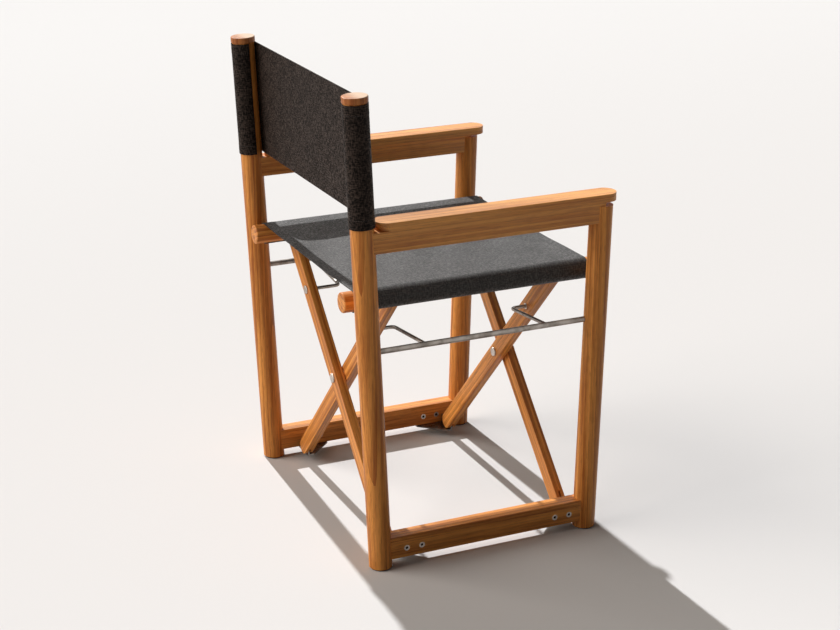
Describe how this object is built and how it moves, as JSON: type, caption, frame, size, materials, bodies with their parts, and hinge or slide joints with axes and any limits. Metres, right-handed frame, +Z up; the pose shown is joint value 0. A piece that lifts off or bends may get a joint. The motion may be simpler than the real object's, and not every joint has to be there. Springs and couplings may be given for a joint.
{
  "type": "directors chair",
  "caption": "Folding directors chair with round wooden posts, crossed legs, steel links, a stretched cloth seat and a cloth back sling.",
  "frame": {"origin": "on the floor, under the middle of the chair's bounding box", "axes": "+X to the sitter's left, +Y towards the back, +Z up"},
  "size_m": [0.5706, 0.5009, 0.8301],
  "materials": {
    "teak": "oiled",
    "cloth": "heather weave",
    "steel": "brushed",
    "black_plastic": "matte"
  },
  "bodies": {
    "right_side_frame": {"right_back_post": "teak", "right_front_post": "teak", "right_post_cap": "teak", "right_foot_glides": "black_plastic", "right_arm_board": "teak", "right_arm_rail": "teak", "right_arm_dowels": "teak", "right_bottom_rail": "teak", "right_leg_brackets": "steel", "right_bracket_bolts": "steel", "right_sling_cord": "black_plastic", "back_sling": "cloth"},
    "outer_leg_frame": {"rear_outer_leg": "teak", "front_outer_leg": "teak", "left_seat_rail": "teak", "left_seat_cord": "black_plastic", "outer_foot_pins": "steel", "outer_link_bushes": "steel", "pivot_bolts": "steel", "pivot_nuts": "steel", "pivot_washers": "steel", "seat_fabric": "cloth"},
    "inner_leg_frame": {"rear_inner_leg": "teak", "front_inner_leg": "teak", "right_seat_rail": "teak", "right_seat_cord": "black_plastic", "inner_foot_pins": "steel", "inner_link_bushes": "steel"},
    "left_side_frame": {"left_back_post": "teak", "left_front_post": "teak", "left_post_cap": "teak", "left_foot_glides": "black_plastic", "left_arm_board": "teak", "left_arm_rail": "teak", "left_arm_dowels": "teak", "left_bottom_rail": "teak", "left_leg_brackets": "steel", "left_bracket_bolts": "steel", "left_sling_cord": "black_plastic"},
    "right_link": {"right_link_bar": "steel", "right_link_arms": "steel"},
    "left_link": {"left_link_bar": "steel", "left_link_arms": "steel"}
  },
  "joints": [
    {"name": "fold", "type": "hinge", "parent": "right_side_frame", "child": "outer_leg_frame", "pos_m": [-0.2117, 0, 0.032], "axis": [0, -1, 0], "range_deg": [0, 38], "deforming": ["back_sling"]},
    {"name": "leg_cross", "type": "hinge", "parent": "outer_leg_frame", "child": "inner_leg_frame", "pos_m": [0, 0, 0.251], "axis": [0, -1, 0], "range_deg": [-76, 0], "deforming": ["seat_fabric"]},
    {"name": "left_foot", "type": "hinge", "parent": "inner_leg_frame", "child": "left_side_frame", "pos_m": [0.2117, 0, 0.032], "axis": [0, -1, 0], "range_deg": [0, 38]},
    {"name": "right_link_swing", "type": "hinge", "parent": "right_side_frame", "child": "right_link", "pos_m": [-0.26, 0, 0.393], "axis": [0, -1, 0], "range_deg": [0, 68.5]},
    {"name": "left_link_swing", "type": "hinge", "parent": "left_side_frame", "child": "left_link", "pos_m": [0.26, 0, 0.393], "axis": [0, 1, 0], "range_deg": [0, 68.5]}
  ],
  "couplings": [
    {"joint": "leg_cross", "follows": "fold", "ratio": -2},
    {"joint": "left_foot", "follows": "fold", "ratio": 1},
    {"joint": "right_link_swing", "follows": "fold", "ratio": 1.8004},
    {"joint": "left_link_swing", "follows": "fold", "ratio": 1.8004}
  ]
}
